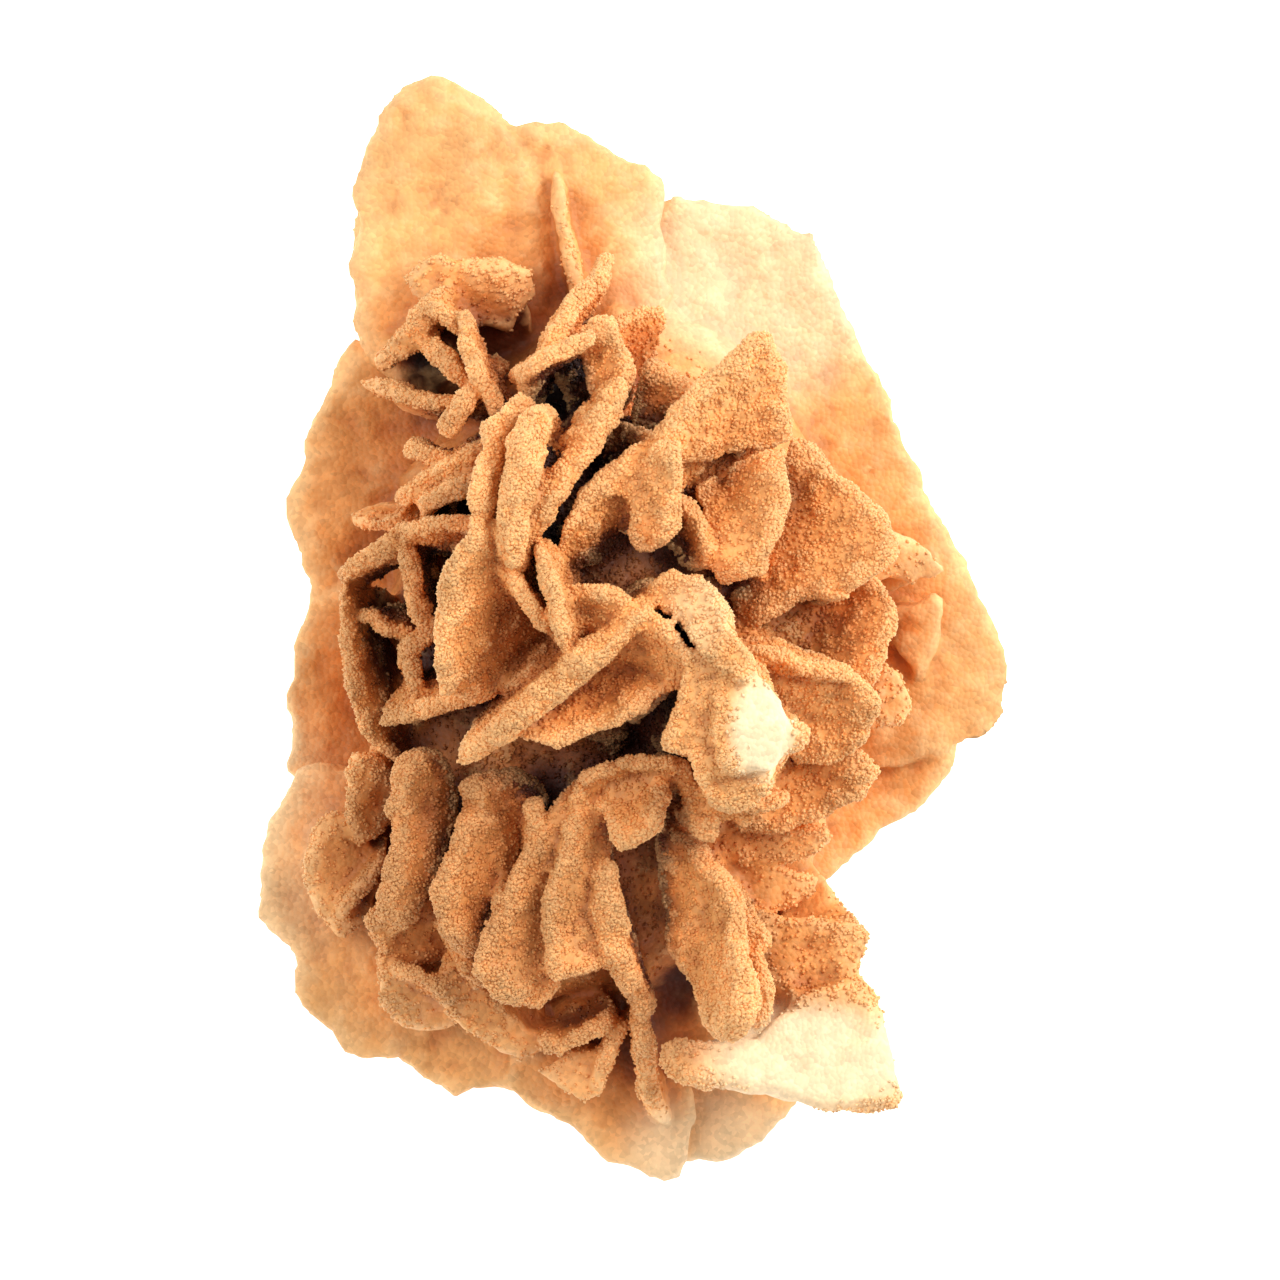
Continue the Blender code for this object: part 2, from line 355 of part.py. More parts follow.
def ridge(start, end, dip, depth, thickness, bow, wander):
    # A rounded blade below its edge. A stout one is bowed, and slimmer towards
    # both ends.
    start, end = Vector(start), Vector(end)
    along = (end - start).normalized()
    left = Vector((-along.y, along.x, 0.0)).normalized()
    up = along.cross(left).normalized()
    slope = math.radians(dip)
    fall = left * math.cos(slope) - up * math.sin(slope)
    normal = along.cross(fall)
    middle = (start + end) / 2 + fall * depth / 2
    half_length = (end - start).length / 2
    shaped = thickness >= SLIM
    taper = RIDGE_TAPER if shaped else 0.0
    rim, widths = [], []
    for u, v in RIDGE_OUTLINE:
        reach = 1.0 + wander.uniform(-RIM_WANDER, RIM_WANDER)
        sideways = normal * (bow * (1.0 - u * u)) if shaped else Vector()
        rim.append(middle + along * (u * reach * half_length) + fall * (v * depth / 2) + sideways)
        widths.append(thickness * (1.0 - taper * u * u))
    cage = lens(rim, normal, widths, SHOULDER, SHOULDER_HEIGHT)
    if shaped:
        bmesh.ops.triangulate(cage, faces=cage.faces)
    return cage


def root(outline, height, rise, turn):
    # A steep blade that crosses a petal below its middle and carries it: its top
    # lies in the petal and its foot in the core
    mid_x = sum(p[0] for p in outline) / len(outline)
    mid_y = sum(p[1] for p in outline) / len(outline)
    angle = math.atan2(mid_y - AXIS[1], mid_x - AXIS[0]) + turn
    c, s = math.cos(angle), math.sin(angle)
    reaches = [(x - mid_x) * c + (y - mid_y) * s for x, y in outline]
    half = ROOT_WIDTH * min(max(reaches), -min(reaches))
    along = Vector((c, s, rise[0] * c + rise[1] * s)) * half
    top = Vector((mid_x, mid_y, height))
    fall = Vector((mid_x * ROOT_LEAN, mid_y * ROOT_LEAN, ROOT_HEIGHT)) - top
    right = [(1.0, 0.0), (ROOT_BELLY, 0.5), (ROOT_FOOT, 1.0)]
    left = [(-u, v) for u, v in reversed(right)]
    rim = [top + along * u + fall * v for u, v in right + left]
    normal = along.cross(fall).normalized()
    return lens(rim, normal, [ROOT_THICKNESS] * len(rim), SHOULDER, SHOULDER_HEIGHT)


def roots(outline, height, rise, wander):
    # A petal stands on a blade that runs across it, and a wide one on a second
    # that runs outwards
    yield root(outline, height, rise, math.pi / 2 + wander.uniform(-ROOT_SWING, ROOT_SWING))
    middle = [sum(p[k] for p in outline) / len(outline) for k in (0, 1)]
    reach = sum(math.dist(p, middle) for p in outline) / len(outline)
    if reach > WIDE_PETAL:
        yield root(outline, height, rise, wander.uniform(-ROOT_SWING, ROOT_SWING))


def skirt(centre, width, reach, facing, fall, wander):
    # A rounded blade on the underside that slopes down and outwards: its middle,
    # how wide and how long it is, the way it faces, and its slope
    turn, slope = math.radians(facing), math.radians(fall)
    out = Vector((math.cos(turn) * math.cos(slope), math.sin(turn) * math.cos(slope), -math.sin(slope)))
    across = Vector((-math.sin(turn), math.cos(turn), 0.0))
    rim = []
    for i in range(SKIRT_POINTS):
        angle = math.tau * i / SKIRT_POINTS
        half = 0.5 + wander.uniform(-SKIRT_WANDER, SKIRT_WANDER) / 2
        way = out * (math.cos(angle) * reach) + across * (math.sin(angle) * width)
        rim.append(Vector(centre) + way * half)
    return lens(rim, out.cross(across), [STOUT] * SKIRT_POINTS, SHOULDER, SHOULDER_HEIGHT)


def knot(centre, size):
    cage = bmesh.new()
    bmesh.ops.create_uvsphere(cage, u_segments=2 * KNOT_RINGS, v_segments=KNOT_RINGS, radius=1.0)
    for vert in cage.verts:
        vert.co = Vector([c + s * v for c, s, v in zip(centre, size, vert.co)])
    return cage


def floor_cutter():
    cage = bmesh.new()
    bmesh.ops.create_cube(cage, size=FOOT_BOX)
    for vert in cage.verts:
        vert.co.z -= FOOT_BOX / 2
    return cage


def add_object(name, cage, collection):
    # A cage drawn in millimetres becomes an object in metres
    bmesh.ops.scale(cage, vec=(MM, MM, MM), verts=cage.verts)
    mesh = bpy.data.meshes.new(name)
    cage.to_mesh(mesh)
    cage.free()
    thing = bpy.data.objects.new(name, mesh)
    collection.objects.link(thing)
    return thing


def hide_helper(thing):
    thing.hide_render = True
    thing.display_type = "WIRE"


def blade_cages():
    wander = random.Random(4)
    for outline, height, rise, thickness in BACK_PLATES + PETALS:
        yield plate(outline, height, rise, thickness)
    for outline, height, rise, _ in PETALS + BLOCKS:
        yield from roots(outline, height, rise, wander)
    for outline, height, rise, thickness in BLOCKS:
        yield plate(outline, height, rise, thickness, BLOCK_SHOULDER, BLOCK_SHOULDER_HEIGHT)
    for centre, size in KNOTS[1:]:
        yield knot(centre, size)
    for start, end, dip, depth, thickness, bow in RIDGES:
        yield ridge(start, end, dip, depth, thickness, bow, wander)
    for centre, width, reach, facing, fall in SKIRTS:
        yield skirt(centre, width, reach, facing, fall, wander)


def shells(cage):
    # The closed surfaces that a mesh is made of, each as a list of faces
    found, seen = [], set()
    for first in cage.faces:
        if first in seen:
            continue
        shell, front = [], [first]
        seen.add(first)
        while front:
            face = front.pop()
            shell.append(face)
            for edge in face.edges:
                for other in edge.link_faces:
                    if other not in seen:
                        seen.add(other)
                        front.append(other)
        found.append(shell)
    return found


def fuse(parts, helpers):
    # All blades and the knot become one solid, worn flat at the floor, with the
    # small pockets that they shut in between them filled
    body = add_object("fused", knot(*KNOTS[0]), parts)
    join = body.modifiers.new("join_blades", "BOOLEAN")
    join.operand_type = "COLLECTION"
    join.collection = helpers
    join.operation = "UNION"
    join.solver = "EXACT"
    floor = add_object("floor_cutter", floor_cutter(), new_collection("cutters"))
    hide_helper(floor)
    wear = body.modifiers.new("wear_foot", "BOOLEAN")
    wear.object = floor
    wear.operation = "DIFFERENCE"
    wear.solver = "EXACT"
    depsgraph = bpy.context.evaluated_depsgraph_get()
    mesh = bpy.data.meshes.new_from_object(body.evaluated_get(depsgraph))
    bpy.data.objects.remove(body, do_unlink=True)
    cage = bmesh.new()
    cage.from_mesh(mesh)
    outer = max(shells(cage), key=len)
    inner = [face for face in cage.faces if face not in set(outer)]
    bmesh.ops.delete(cage, geom=inner, context="FACES")
    return cage


def stand_at_origin(cage):
    # The origin is the middle of the base
    low = Vector([min(v.co[i] for v in cage.verts) for i in range(3)])
    high = Vector([max(v.co[i] for v in cage.verts) for i in range(3)])
    shift = Vector((-(low.x + high.x) / 2, -(low.y + high.y) / 2, -low.z))
    bmesh.ops.translate(cage, vec=shift, verts=cage.verts)


def main():
    clear_scene()
    parts = new_collection("desert_rose_specimen")
    helpers = new_collection("blades")
    for number, cage in enumerate(blade_cages()):
        hide_helper(add_object(f"blade_{number}", cage, helpers))
    cage = fuse(parts, helpers)
    stand_at_origin(cage)
    mesh = bpy.data.meshes.new("desert_rose")
    cage.to_mesh(mesh)
    cage.free()
    rose = bpy.data.objects.new("desert_rose", mesh)
    parts.objects.link(rose)
    mesh.materials.clear()
    mesh.materials.append(stone_material())


if __name__ == "__main__":
    main()
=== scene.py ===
# Desert rose: thin blades of gypsum, coated with fine sand, grown through each
# other. It lies on its back on a pale table and is seen from straight above.

import math

import bpy
import numpy as np
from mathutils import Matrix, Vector
from mathutils.bvhtree import BVHTree
from mathutils.kdtree import KDTree


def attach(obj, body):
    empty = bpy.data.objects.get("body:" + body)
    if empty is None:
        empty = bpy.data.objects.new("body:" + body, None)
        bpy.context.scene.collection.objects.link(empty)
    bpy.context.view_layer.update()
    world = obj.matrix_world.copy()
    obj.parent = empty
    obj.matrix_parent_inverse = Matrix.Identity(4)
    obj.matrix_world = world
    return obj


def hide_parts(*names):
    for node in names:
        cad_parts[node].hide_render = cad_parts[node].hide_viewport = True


mm = 0.001
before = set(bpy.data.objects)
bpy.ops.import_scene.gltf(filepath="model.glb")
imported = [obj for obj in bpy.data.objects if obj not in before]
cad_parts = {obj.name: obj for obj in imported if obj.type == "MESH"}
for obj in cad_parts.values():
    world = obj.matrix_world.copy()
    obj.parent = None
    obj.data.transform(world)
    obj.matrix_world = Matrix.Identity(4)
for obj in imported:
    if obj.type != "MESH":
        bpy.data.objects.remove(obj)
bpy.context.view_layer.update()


# Small helpers

def selectOnly(thing):
    bpy.ops.object.select_all(action="DESELECT")
    thing.select_set(True)
    bpy.context.view_layer.objects.active = thing


def applyModifier(thing, name, kind, **settings):
    modifier = thing.modifiers.new(name, kind)
    for key, value in settings.items():
        setattr(modifier, key, value)
    selectOnly(thing)
    bpy.ops.object.modifier_apply(modifier=modifier.name)


def meshPoints(mesh):
    points = np.empty(len(mesh.vertices) * 3, np.float32)
    mesh.vertices.foreach_get("co", points)
    return points.reshape(-1, 3)


def meshNormals(mesh):
    normals = np.empty(len(mesh.vertices) * 3, np.float32)
    mesh.vertices.foreach_get("normal", normals)
    return normals.reshape(-1, 3)


def meshEdges(mesh):
    edges = np.empty(len(mesh.edges) * 2, np.int32)
    mesh.edges.foreach_get("vertices", edges)
    return edges.reshape(-1, 2)


def movePoints(mesh, points):
    mesh.vertices.foreach_set("co", np.ascontiguousarray(points, np.float32).ravel())
    mesh.update()


def spread(values, edges, rounds):
    # Averages a value, or a vector, with its neighbours' a number of times
    size = len(values)
    ends = np.concatenate([edges[:, 0], edges[:, 1]])
    others = np.concatenate([edges[:, 1], edges[:, 0]])
    count = np.maximum(np.bincount(ends, minlength=size), 1)
    flat = values.reshape(size, -1).astype(np.float64)
    for _ in range(rounds):
        sums = [np.bincount(ends, weights=flat[others, i], minlength=size) for i in range(flat.shape[1])]
        flat = 0.5 * flat + 0.5 * np.stack(sums, axis=1) / count[:, None]
    return flat.reshape(values.shape)


def setAttribute(mesh, name, values):
    attribute = mesh.attributes.get(name) or mesh.attributes.new(name, "FLOAT", "POINT")
    attribute.data.foreach_set("value", np.ascontiguousarray(values, np.float32))


def smoothStep(low, high, values):
    t = np.clip((values - low) / (high - low), 0.0, 1.0)
    return t * t * (3 - 2 * t)


def hexToLinear(code):
    channels = [int(code[i:i + 2], 16) / 255 for i in (1, 3, 5)]
    return [c / 12.92 if c <= 0.04045 else ((c + 0.055) / 1.055) ** 2.4 for c in channels] + [1.0]


# The stone: the solid of the frame, worn round and rough

stoneLook = {
    "grid": 0.21 * mm,
    "rounding": 7,
    "triangles": 198000,
    # each wave: texture, size of its bumps, how far it moves the surface
    "waves": [
        ("bend", 7.0 * mm, 1.7 * mm),
        ("wander", 2.2 * mm, 0.6 * mm),
        ("scallops", 0.9 * mm, 0.42 * mm),
        ("grit", 0.32 * mm, 0.15 * mm),
    ],
    # the blades near the camera keep more of their triangles than the back
    "sharpFrom": (6 * mm, 14 * mm),
    "backThinning": 0.00001,
}


def cloudTexture(name, size, depth):
    texture = bpy.data.textures.new(name, "CLOUDS")
    texture.noise_scale = size
    texture.noise_depth = depth
    texture.noise_basis = "ORIGINAL_PERLIN"
    texture.cloud_type = "COLOR"
    return texture


def makeStone():
    stone = bpy.data.objects.new("stone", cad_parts["desert_rose"].data.copy())
    bpy.context.scene.collection.objects.link(stone)
    selectOnly(stone)
    bpy.ops.object.mode_set(mode="EDIT")
    bpy.ops.mesh.select_all(action="SELECT")
    bpy.ops.mesh.remove_doubles(threshold=0.001 * mm)
    bpy.ops.object.mode_set(mode="OBJECT")
    applyModifier(stone, "grid", "REMESH", mode="VOXEL", voxel_size=stoneLook["grid"], adaptivity=0.0)
    applyModifier(stone, "rounding", "SMOOTH", factor=0.5, iterations=stoneLook["rounding"])
    for name, size, strength in stoneLook["waves"]:
        direction = "NORMAL" if name == "grit" else "RGB_TO_XYZ"
        applyModifier(stone, name, "DISPLACE", texture=cloudTexture(name, size, 1),
                      texture_coords="LOCAL", direction=direction, strength=strength, mid_level=0.5)
    points = meshPoints(stone.data)
    points[:, 2] = np.maximum(points[:, 2], 0)  # worn flat where it lies
    movePoints(stone.data, points)
    faces = sum(len(face.vertices) - 2 for face in stone.data.polygons)
    print("stone before thinning:", faces, "triangles")
    thin = stone.vertex_groups.new(name="thin")
    back = 1 - smoothStep(*stoneLook["sharpFrom"], meshPoints(stone.data)[:, 2])
    levels = np.round(back * 10).astype(int)
    for level in range(11):
        thin.add(np.flatnonzero(levels == level).tolist(), 0.1 + 0.09 * level, "REPLACE")
    applyModifier(stone, "thinning", "DECIMATE", ratio=min(1.0, stoneLook["triangles"] / faces),
                  vertex_group="thin", vertex_group_factor=stoneLook["backThinning"])
    stone.vertex_groups.clear()
    bpy.ops.object.shade_smooth()
    return stone


def outwardBulge(mesh, rounds):
    # How far each point stands out of the mean of its surroundings, in metres
    points = meshPoints(mesh)
    mean = spread(points, meshEdges(mesh), rounds)
    return ((points - mean) * meshNormals(mesh)).sum(axis=1)


def openness(mesh):
    # Share of the sky that each point sees, from rays on a coarse copy; it darkens the colour as painted
    # shade in the hollows
    coarse = bpy.data.objects.new("coarse", mesh.copy())
    bpy.context.scene.collection.objects.link(coarse)
    applyModifier(coarse, "coarse", "REMESH", mode="VOXEL", voxel_size=0.7 * mm, adaptivity=0.0)
    tree = BVHTree.FromObject(coarse, bpy.context.evaluated_depsgraph_get())
    points, normals = meshPoints(coarse.data), meshNormals(coarse.data)
    steps = 22
    rays = []
    for i in range(steps):
        z = 1 - (2 * i + 1) / steps
        turn = i * math.pi * (3 - math.sqrt(5))
        rays.append(Vector((math.sqrt(1 - z * z) * math.cos(turn), math.sqrt(1 - z * z) * math.sin(turn), z)))
    seen = np.zeros(len(points))
    for i, (point, normal) in enumerate(zip(points, normals)):
        start = Vector(point) + Vector(normal) * 0.3 * mm
        total = free = 0.0
        for ray in rays:
            facing = ray.dot(Vector(normal))
            if facing < 0.1:
                continue
            total += facing
            if tree.ray_cast(start, ray, 12 * mm)[0] is None:
                free += facing
        seen[i] = free / max(total, 0.001)
    seen = spread(seen, meshEdges(coarse.data), 2)
    near = KDTree(len(points))
    for i, point in enumerate(points):
        near.insert(point, i)
    near.balance()
    result = np.empty(len(mesh.vertices))
    for i, point in enumerate(meshPoints(mesh)):
        found = near.find_n(point, 3)
        weights = [1 / (0.05 * mm + distance) for _, _, distance in found]
        result[i] = sum(w * seen[index] for w, (_, index, _) in zip(weights, found)) / sum(weights)
    bpy.data.objects.remove(coarse)
    return result


# Where the stone's colour differs from its sandy orange, partly its own colour and partly painted light and
# shade: middle, half sizes, strength
patches = {
    # Paler: partly the stone's own colour, partly painted light where plates and faces are brightly lit
    "paleAndPaintedLight": {
        "fan": ((9.0, -22.4, 11.0), (7.0, 3.4, 6.0), 1.0),
        "brokenCrystal": ((6.6, -5.2, 23.0), (2.1, 3.4, 2.6), 1.0),
        "farRightPlate": ((6.5, 19.0, 5.0), (8.5, 8.0, 6.0), 0.75),
        "nearRim": ((4.0, -27.0, 6.0), (5.5, 3.4, 5.0), 0.7),
        "leftEdge": ((-19.0, -11.0, 6.0), (4.0, 9.0, 5.0), 0.35),
        "neck": ((3.4, 0.6, 21.5), (2.2, 2.6, 3.0), 0.3),
    },
    # Greyer and darker: partly the stone's own greyer sand, partly painted shade on the less-lit lower left
    "greyAndPaintedShade": {
        "lowerLeft": ((-9.0, -13.0, 12.0), (9.5, 8.5, 8.0), 0.95),
        "nearMiddle": ((-3.5, -19.5, 12.0), (6.0, 5.0, 6.0), 0.7),
        "left": ((-12.5, 1.0, 13.0), (5.0, 9.0, 6.0), 0.45),
        "farLeft": ((-11.0, 13.5, 11.0), (5.0, 5.0, 5.0), 0.3),
    },
}


def patchShare(points, kind):
    share = np.zeros(len(points))
    for centre, half, strength in patches[kind].values():
        away = np.linalg.norm((points / mm - centre) / half, axis=1)
        share = np.maximum(share, strength * (1 - smoothStep(0.55, 1.1, away)))
    return share


stone = makeStone()
print("stone made:", len(stone.data.polygons), "faces")
# Convex rims get more sand grains and a painted glow in the colour
setAttribute(stone.data, "rim", smoothStep(0.02 * mm, 0.16 * mm, outwardBulge(stone.data, 12)))
# Painted shade: creases are darkened in the colour
setAttribute(stone.data, "paintedCreaseShade", smoothStep(0.02 * mm, 0.16 * mm, -outwardBulge(stone.data, 12)))
# Painted shade: the less sky a point sees, the darker its colour
setAttribute(stone.data, "openForPaintedShade", openness(stone.data))
for kind in patches:
    setAttribute(stone.data, kind, patchShare(meshPoints(stone.data), kind))
shadeNames = ("rim", "paintedCreaseShade", "openForPaintedShade", "paleAndPaintedLight", "greyAndPaintedShade")
print("stone shading values made")


# Sand grains stuck on the stone, thickest along the rims

sandLook = {
    "pieces": 4,
    "grainsEach": 24500,
    "radius": (0.10 * mm, 0.165 * mm),
    "sunk": 0.4,
    "rimShare": 1.6,
    "sandFrom": (7.5 * mm, 15 * mm),  # the back plates are washed clean
    "seed": 7,
}


def pickPlaces(mesh, count, weight, source):
    # Random places on the faces, as points, normals and one corner of each face
    mesh.calc_loop_triangles()
    triangles = np.empty(len(mesh.loop_triangles) * 3, np.int32)
    mesh.loop_triangles.foreach_get("vertices", triangles)
    triangles = triangles.reshape(-1, 3)
    points, normals = meshPoints(mesh), meshNormals(mesh)
    a, b, c = (points[triangles[:, i]] for i in range(3))
    area = np.linalg.norm(np.cross(b - a, c - a), axis=1) / 2
    chance = area * weight[triangles].mean(axis=1)
    chosen = source.choice(len(triangles), count, p=chance / chance.sum())
    u, v = source.random((2, count))
    folded = u + v > 1
    u[folded], v[folded] = 1 - u[folded], 1 - v[folded]
    places = a[chosen] + u[:, None] * (b - a)[chosen] + v[:, None] * (c - a)[chosen]
    return places, normals[triangles[chosen, 0]], triangles[chosen, 0]


def randomTurns(count, source):
    q = source.normal(size=(count, 4))
    w, x, y, z = (q / np.linalg.norm(q, axis=1)[:, None]).T
    rows = [[1 - 2 * (y * y + z * z), 2 * (x * y - z * w), 2 * (x * z + y * w)],
            [2 * (x * y + z * w), 1 - 2 * (x * x + z * z), 2 * (y * z - x * w)],
            [2 * (x * z - y * w), 2 * (y * z + x * w), 1 - 2 * (x * x + y * y)]]
    return np.array(rows).transpose(2, 0, 1)


def copyMany(name, pattern, places, turns, sizes):
    # One mesh of many turned and scaled copies of a small pattern mesh
    shape = meshPoints(pattern)
    faces = np.array([face.vertices[:] for face in pattern.polygons])
    copies = len(places)
    corners = np.einsum("nij,nkj->nki", turns, shape[None] * sizes[:, None, :]) + places[:, None, :]
    loops = (faces[None] + (np.arange(copies) * len(shape))[:, None, None]).ravel()
    mesh = bpy.data.meshes.new(name)
    mesh.vertices.add(copies * len(shape))
    mesh.vertices.foreach_set("co", corners.astype(np.float32).ravel())
    mesh.loops.add(len(loops))
    mesh.loops.foreach_set("vertex_index", loops)
    mesh.polygons.add(copies * len(faces))
    mesh.polygons.foreach_set("loop_start", np.arange(copies * len(faces)) * 3)
    mesh.update(calc_edges=True)
    mesh.validate()
    mesh.shade_smooth()
    thing = bpy.data.objects.new(name, mesh)
    bpy.context.scene.collection.objects.link(thing)
    return thing


def makeSand():
    source = np.random.default_rng(sandLook["seed"])
    bpy.ops.object.select_all(action="DESELECT")
    bpy.ops.mesh.primitive_cone_add(vertices=4, radius1=1.0, radius2=0.0, depth=1.0,
                                    end_fill_type="NOTHING", location=(0, 0, 0.5))
    pattern = bpy.context.object
    bpy.ops.object.transform_apply(location=True, rotation=False, scale=False)
    applyModifier(pattern, "otherHalf", "MIRROR", use_axis=(False, False, True), merge_threshold=0.01)
    values = {name: np.empty(len(stone.data.vertices), np.float32) for name in shadeNames}
    for name, array in values.items():
        stone.data.attributes[name].data.foreach_get("value", array)
    height = meshPoints(stone.data)[:, 2]
    facing = meshNormals(stone.data)[:, 2]
    weight = (0.5 + sandLook["rimShare"] * values["rim"]) * (0.12 + smoothStep(-0.4, 0.4, facing))
    weight *= smoothStep(*sandLook["sandFrom"], height) * (1 - values["paleAndPaintedLight"]) ** 2
    count = sandLook["pieces"] * sandLook["grainsEach"]
    places, normals, corners = pickPlaces(stone.data, count, weight, source)
    low, high = sandLook["radius"]
    radius = low + (high - low) * source.random(count) ** 2
    places = places + normals * (radius * (1 - 2 * sandLook["sunk"]))[:, None]
    sizes = radius[:, None] * source.uniform(0.75, 1.2, (count, 3))
    turns = randomTurns(count, source)
    tone = source.random(count)
    order = np.argsort(places[:, 1])
    made = []
    for part in range(sandLook["pieces"]):
        mine = order[part * sandLook["grainsEach"]:(part + 1) * sandLook["grainsEach"]]
        sand = copyMany(f"sand{part + 1}", pattern.data, places[mine], turns[mine], sizes[mine])
        each = len(pattern.data.vertices)
        # The grains take the stone's values under them, so its painted light and shade carry onto them
        for name, array in values.items():
            setAttribute(sand.data, name, np.repeat(array[corners[mine]], each))
        setAttribute(sand.data, "tone", np.repeat(tone[mine], each))
        made.append(sand)
    bpy.data.objects.remove(pattern)
    return made


sandPieces = makeSand()
print("sand made:", len(sandPieces), "pieces")


# Materials

def addNode(tree, kind, settings=None, **links):
    node = tree.nodes.new(kind)
    for key, value in (settings or {}).items():
        if key in node.inputs:
            node.inputs[key].default_value = value
        else:
            setattr(node, key, value)
    for key, source in links.items():
        tree.links.new(source, node.inputs[key.replace("_", " ")])
    return node


def makeSandyGypsum():
    # Gypsum blades under a skin of fine quartz sand, stained by iron: a matt,
    # sugary orange, with painted shade deep between the blades and in the creases, a painted glow at the thin
    # rims, and patches paler or greyer partly by their own colour and partly by painted light and shade
    material = bpy.data.materials.new("sandyGypsum")
    material.use_nodes = True
    tree = material.node_tree
    shader = tree.nodes["Principled BSDF"]
    # Painted shade: the colour darkens where less sky is seen, to near black in the deepest hollows
    paintedHollowShade = addNode(tree, "ShaderNodeAttribute", {"attribute_name": "openForPaintedShade"})
    ramp = addNode(tree, "ShaderNodeValToRGB", Fac=paintedHollowShade.outputs["Fac"])
    stops = [(0.04, "#280c05"), (0.2, "#6b3112"), (0.4, "#cf7d3c"), (0.65, "#f0a358"), (1.0, "#f6b36b")]
    while len(ramp.color_ramp.elements) < len(stops):
        ramp.color_ramp.elements.new(0.5)
    for element, (position, code) in zip(ramp.color_ramp.elements, stops):
        element.position = position
        element.color = hexToLinear(code)

    def share(name, top):
        value = addNode(tree, "ShaderNodeAttribute", {"attribute_name": name}).outputs["Fac"]
        scaled = addNode(tree, "ShaderNodeMath", {"operation": "MULTIPLY"})
        scaled.inputs[1].default_value = top
        tree.links.new(value, scaled.inputs[0])
        return scaled.outputs[0]

    def blendIn(colour, factor, over, kind="MIX"):
        mix = addNode(tree, "ShaderNodeMix", {"data_type": "RGBA", "blend_type": kind})
        tree.links.new(factor, mix.inputs["Factor"])
        tree.links.new(colour, mix.inputs[6])
        mix.inputs[7].default_value = hexToLinear(over)
        return mix.outputs[2]

    # Painted glow: the thin rims are blended towards cream
    colour = blendIn(ramp.outputs["Color"], share("rim", 0.55), "#fdc888")
    # Painted shade: creases are darkened
    colour = blendIn(colour, share("paintedCreaseShade", 0.4), "#b87a48", "MULTIPLY")
    # Partly the stone's own greyer sand, partly painted shade on the less-lit lower left
    colour = blendIn(colour, share("greyAndPaintedShade", 0.4), "#c7a27e", "MULTIPLY")
    # Partly the stone's own paler colour, partly painted light on brightly lit plates and faces
    colour = blendIn(colour, share("paleAndPaintedLight", 0.85), "#ffe6ba")
    place = addNode(tree, "ShaderNodeTexCoord")
    clouds = addNode(tree, "ShaderNodeTexNoise", {"Scale": 1 / (2.6 * mm), "Detail": 4.0},
                     Vector=place.outputs["Object"])
    cloudRange = addNode(tree, "ShaderNodeMapRange", {"From Min": 0.35, "From Max": 0.65, "To Min": 0.86,
                                                      "To Max": 1.08}, Value=clouds.outputs["Fac"])
    grains = addNode(tree, "ShaderNodeTexVoronoi", {"Scale": 1 / (0.26 * mm)}, Vector=place.outputs["Object"])
    grainTone = addNode(tree, "ShaderNodeSeparateColor", Color=grains.outputs["Color"])
    grainRange = addNode(tree, "ShaderNodeMapRange", {"To Min": 0.88, "To Max": 1.1},
                         Value=grainTone.outputs["Red"])
    both = addNode(tree, "ShaderNodeMath", {"operation": "MULTIPLY"})
    tree.links.new(cloudRange.outputs["Result"], both.inputs[0])
    tree.links.new(grainRange.outputs["Result"], both.inputs[1])
    toned = addNode(tree, "ShaderNodeVectorMath", {"operation": "SCALE"}, Scale=both.outputs[0])
    tree.links.new(colour, toned.inputs[0])
    tree.links.new(toned.outputs[0], shader.inputs["Base Color"])
    bump = addNode(tree, "ShaderNodeBump", {"Strength": 0.6, "Distance": 0.08 * mm, "invert": True},
                   Height=grains.outputs["Distance"])
    tree.links.new(bump.outputs["Normal"], shader.inputs["Normal"])
    shader.inputs["Roughness"].default_value = 0.6
    return material


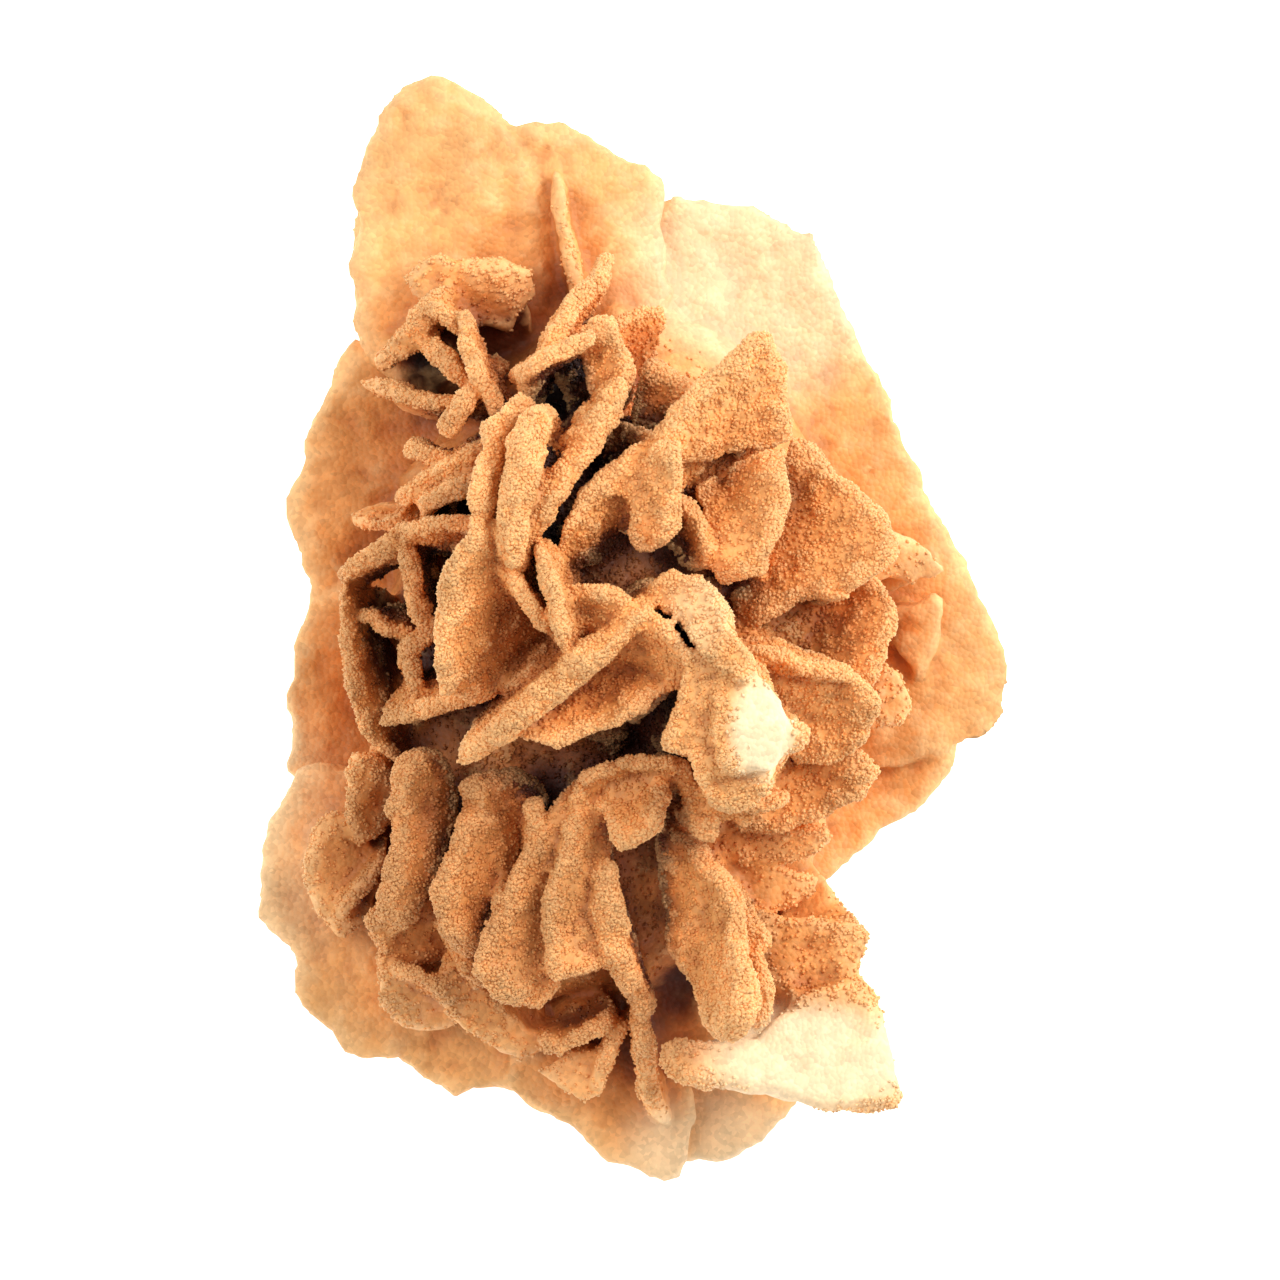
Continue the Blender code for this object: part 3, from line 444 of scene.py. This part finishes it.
sandyGypsum = makeSandyGypsum()
stone.data.materials.clear()
stone.data.materials.append(sandyGypsum)
for sand in sandPieces:
    sand.data.materials.append(sandyGypsum)
    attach(sand, "root")
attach(stone, "root")
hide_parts("desert_rose")


# Table, light and camera

bpy.ops.object.select_all(action="DESELECT")
bpy.ops.mesh.primitive_plane_add(size=3.0, location=(0, 0, 0))
table = bpy.context.object
table.name = "table"
paper = bpy.data.materials.new("whitePaper")
paper.use_nodes = True
paperShader = paper.node_tree.nodes["Principled BSDF"]
paperShader.inputs["Base Color"].default_value = hexToLinear("#fbfbfb")
paperShader.inputs["Roughness"].default_value = 0.9
paperShader.inputs["Emission Color"].default_value = (1, 1, 1, 1)
paperShader.inputs["Emission Strength"].default_value = 0.9
table.data.materials.append(paper)


def addLight(name, size, power, place, aim):
    light = bpy.data.lights.new(name, "AREA")
    light.shape = "DISK"
    light.size = size
    light.energy = power
    lamp = bpy.data.objects.new(name, light)
    bpy.context.scene.collection.objects.link(lamp)
    lamp.location = place
    lamp.rotation_euler = (Vector(aim) - Vector(place)).to_track_quat("-Z", "Y").to_euler()
    return lamp


world = bpy.data.worlds.new("studio")
bpy.context.scene.world = world
world.use_nodes = True
world.node_tree.nodes["Background"].inputs["Color"].default_value = (1, 1, 1, 1)
world.node_tree.nodes["Background"].inputs["Strength"].default_value = 0.52
addLight("rightLamp", 0.30, 1.5, (0.26, 0.16, 0.26), (0, 0, 0.01))
addLight("leftLamp", 0.30, 0.8, (-0.30, 0.05, 0.35), (0, 0, 0.01))

cameraLook = {
    "height": 1000 * mm,
    "focusPlane": 13 * mm,
    "viewWidth": 66.56 * mm,
    "centre": (0.208 * mm, -0.572 * mm),
}
camera = bpy.data.objects.new("camera", bpy.data.cameras.new("camera"))
bpy.context.scene.collection.objects.link(camera)
camera.data.sensor_width = 36
camera.data.lens = camera.data.sensor_width * cameraLook["height"] / cameraLook["viewWidth"]
camera.data.clip_end = 10
camera.location = (*cameraLook["centre"], cameraLook["focusPlane"] + cameraLook["height"])
bpy.context.scene.camera = camera
bpy.context.scene.view_settings.view_transform = "Standard"
print("table, lamps and camera placed")
